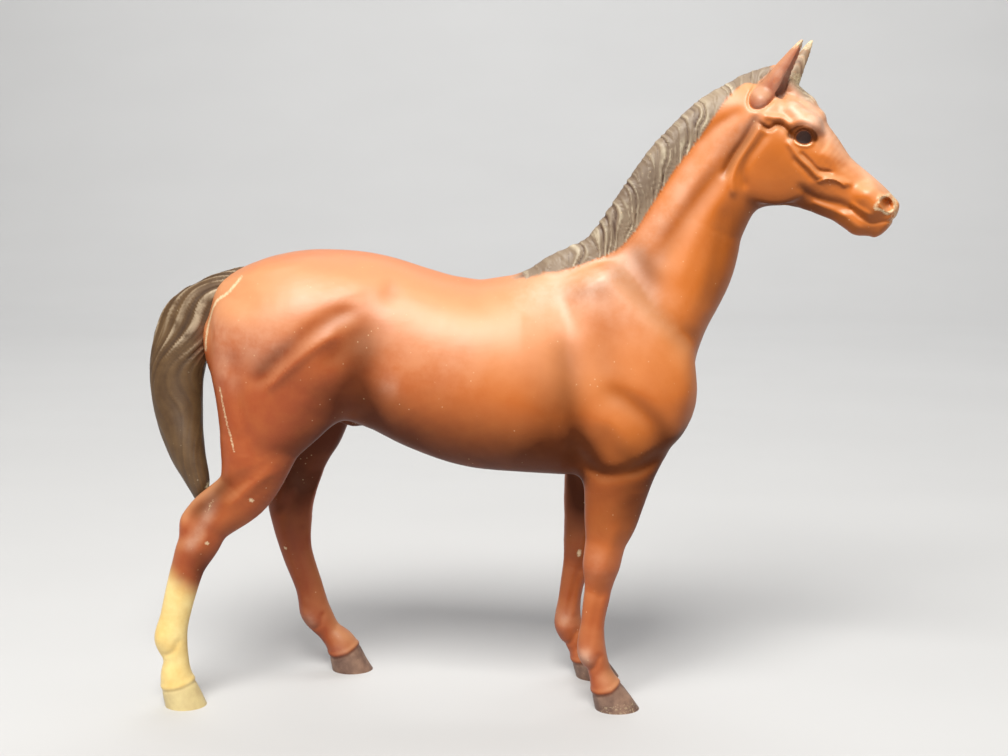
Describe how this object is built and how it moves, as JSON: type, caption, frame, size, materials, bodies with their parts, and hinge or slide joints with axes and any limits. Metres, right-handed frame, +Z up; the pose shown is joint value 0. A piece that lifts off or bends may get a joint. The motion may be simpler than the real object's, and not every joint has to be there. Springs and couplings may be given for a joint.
{
  "type": "toy horse figure",
  "caption": "Standing moulded plastic toy horse: two hollow half shells with neck and head, plugged-in legs and a separate hanging tail.",
  "frame": {"origin": "on the ground, under the middle of the figure's bounding box", "axes": "+Z up, +X the way the horse faces, -Y its right side"},
  "size_m": [0.2306, 0.0538, 0.2064],
  "materials": {
    "chestnut": "satin airbrushed paint",
    "leg_brown": "satin airbrushed paint",
    "sock_cream": "satin airbrushed paint, cream below the hock",
    "tail_umber": "satin paint, dry brushed"
  },
  "bodies": {
    "root": {"body_shell_right": "chestnut", "body_shell_left": "chestnut", "foreleg_right": "leg_brown", "foreleg_left": "leg_brown", "hindleg_right": "sock_cream", "hindleg_left": "leg_brown", "tail": "tail_umber"}
  },
  "joints": []
}
